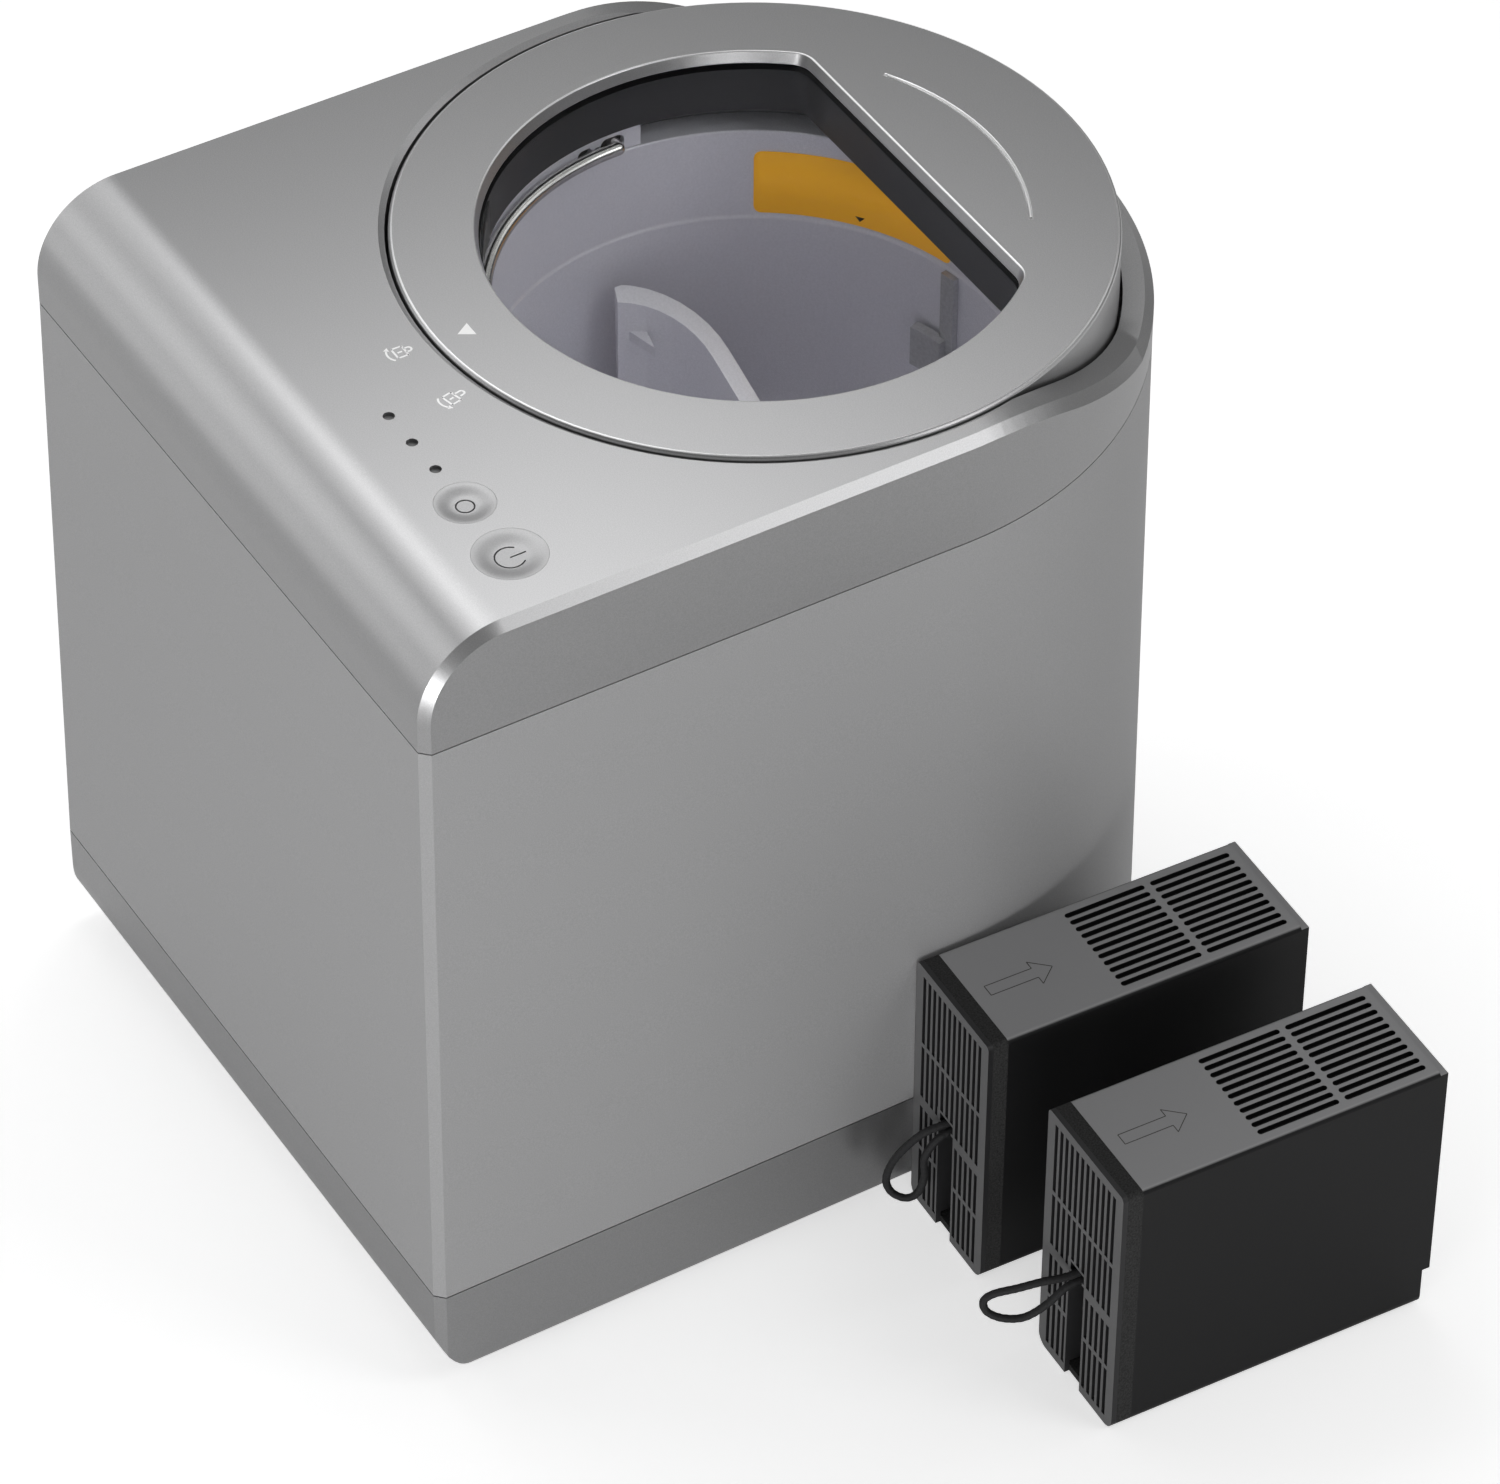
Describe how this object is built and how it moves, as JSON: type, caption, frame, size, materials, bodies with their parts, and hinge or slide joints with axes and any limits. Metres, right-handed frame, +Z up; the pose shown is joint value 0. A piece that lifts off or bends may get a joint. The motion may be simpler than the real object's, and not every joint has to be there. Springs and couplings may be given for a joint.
{
  "type": "electric food waste composter",
  "caption": "Countertop electric food waste composter with a windowed turning lid, lift-out stirred bucket and two filter cartridges standing beside it.",
  "frame": {"origin": "on the counter under the common axis of the bucket, lid and paddle", "axes": "+Z up along the bucket axis, -Y out of the front face, +X to the right of someone facing the front"},
  "size_m": [0.4211, 0.3524, 0.3423],
  "materials": {
    "casing_silver": "satin metallic silver paint",
    "body_silver": "satin metallic silver paint",
    "bucket_coat": "satin lilac-grey non-stick coat",
    "black_plastic": "matt",
    "grey_plastic": "matt",
    "cartridge_black": "satin",
    "button_silver": "satin metallic",
    "window": "clear",
    "steel": "bright wire",
    "aluminium": "plain",
    "rubber": "matt",
    "gasket": "matt",
    "gear_nylon": "natural",
    "brass": "plain",
    "board": "solder mask",
    "foam": "black foam",
    "cord": "braided",
    "carbon": "carbon granules in a felt sleeve"
  },
  "bodies": {
    "casing": {"top_cover": "casing_silver", "body_shell": "casing_silver", "base_pan": "casing_silver", "rubber_feet": "rubber", "lid_collar": "black_plastic", "well_liner": "aluminium", "heater_plate": "aluminium", "filter_bay": "grey_plastic", "gear_plate": "body_silver", "gear_posts": "body_silver", "gear_axle": "steel", "gear_cover": "body_silver", "motor": "steel", "fan_housing": "black_plastic", "air_duct": "grey_plastic", "control_board": "board", "power_board": "board", "lid_switch": "black_plastic", "power_inlet": "black_plastic", "inlet_pins": "steel", "light_pipes": "window"},
    "lid_seal": {"lid_gasket": "gasket"},
    "lid": {"lid_cap": "casing_silver", "lid_window": "window", "lid_frame": "black_plastic"},
    "bucket": {"bucket": "bucket_coat", "bucket_bush": "brass", "handle_ears": "steel", "fixed_cutter": "steel"},
    "bail": {"bail_handle": "steel"},
    "paddle": {"paddle": "bucket_coat", "paddle_shaft": "steel"},
    "output_gear": {"output_gear": "gear_nylon", "drive_cup": "brass"},
    "compound_gear": {"compound_gear": "gear_nylon"},
    "motor_pinion": {"motor_pinion": "brass"},
    "fan": {"fan_impeller": "black_plastic"},
    "power_button": {"power_button": "button_silver"},
    "reset_button": {"reset_button": "button_silver"},
    "filter_cover": {"filter_cover": "casing_silver"},
    "cartridge_a": {"cartridge_shell_a": "cartridge_black", "cartridge_grille_a": "cartridge_black", "cartridge_band_a": "foam", "cartridge_carbon_a": "carbon", "cartridge_loop_a": "cord"},
    "cartridge_b": {"cartridge_shell_b": "cartridge_black", "cartridge_grille_b": "cartridge_black", "cartridge_band_b": "foam", "cartridge_carbon_b": "carbon", "cartridge_loop_b": "cord"}
  },
  "joints": [
    {"name": "lid_lift", "type": "slide", "parent": "casing", "child": "lid_seal", "axis": [0, 0, 1], "range_m": [0, 0.4]},
    {"name": "lid_turn", "type": "hinge", "parent": "lid_seal", "child": "lid", "pos_m": [0, 0, 0.3], "axis": [0, 0, 1], "range_deg": [0, 12.5]},
    {"name": "bucket_lift", "type": "slide", "parent": "casing", "child": "bucket", "axis": [0, 0, 1], "range_m": [0, 0.16]},
    {"name": "bail_swing", "type": "hinge", "parent": "bucket", "child": "bail", "pos_m": [0, 0, 0.3102], "axis": [-1, 0, 0], "range_deg": [0, 90]},
    {"name": "output_spin", "type": "hinge", "parent": "casing", "child": "output_gear", "pos_m": [0, 0, 0.147], "axis": [0, 0, 1], "continuous": true},
    {"name": "paddle_spin", "type": "hinge", "parent": "bucket", "child": "paddle", "pos_m": [0, 0, 0.19], "axis": [0, 0, 1], "continuous": true},
    {"name": "compound_spin", "type": "hinge", "parent": "casing", "child": "compound_gear", "pos_m": [0, -0.05625, 0.15], "axis": [0, 0, 1], "continuous": true},
    {"name": "motor_spin", "type": "hinge", "parent": "casing", "child": "motor_pinion", "pos_m": [0, -0.09375, 0.15], "axis": [0, 0, 1], "continuous": true},
    {"name": "fan_spin", "type": "hinge", "parent": "casing", "child": "fan", "pos_m": [-0.07, 0.05, 0.08], "axis": [1, 0, 0], "continuous": true},
    {"name": "power_press", "type": "slide", "parent": "casing", "child": "power_button", "axis": [0, 0, -1], "range_m": [0, 0.0015], "stiffness_N_per_m": 800},
    {"name": "reset_press", "type": "slide", "parent": "casing", "child": "reset_button", "axis": [0, 0, -1], "range_m": [0, 0.0015], "stiffness_N_per_m": 800},
    {"name": "filter_cover_pull", "type": "slide", "parent": "casing", "child": "filter_cover", "axis": [0, 1, 0], "range_m": [0, 0.15]},
    {"name": "cartridge_a_lift", "type": "slide", "parent": "casing", "child": "cartridge_a", "axis": [0, 0, 1], "range_m": [0, 0.15]},
    {"name": "cartridge_b_lift", "type": "slide", "parent": "casing", "child": "cartridge_b", "axis": [0, 0, 1], "range_m": [0, 0.15]}
  ],
  "couplings": [
    {"joint": "bucket_lift", "follows": "lid_lift", "ratio": 0.4},
    {"joint": "bail_swing", "follows": "lid_lift", "rad_per_m": 3.9},
    {"joint": "paddle_spin", "follows": "output_spin", "ratio": 1},
    {"joint": "compound_spin", "follows": "output_spin", "ratio": -4},
    {"joint": "motor_spin", "follows": "output_spin", "ratio": 16}
  ]
}
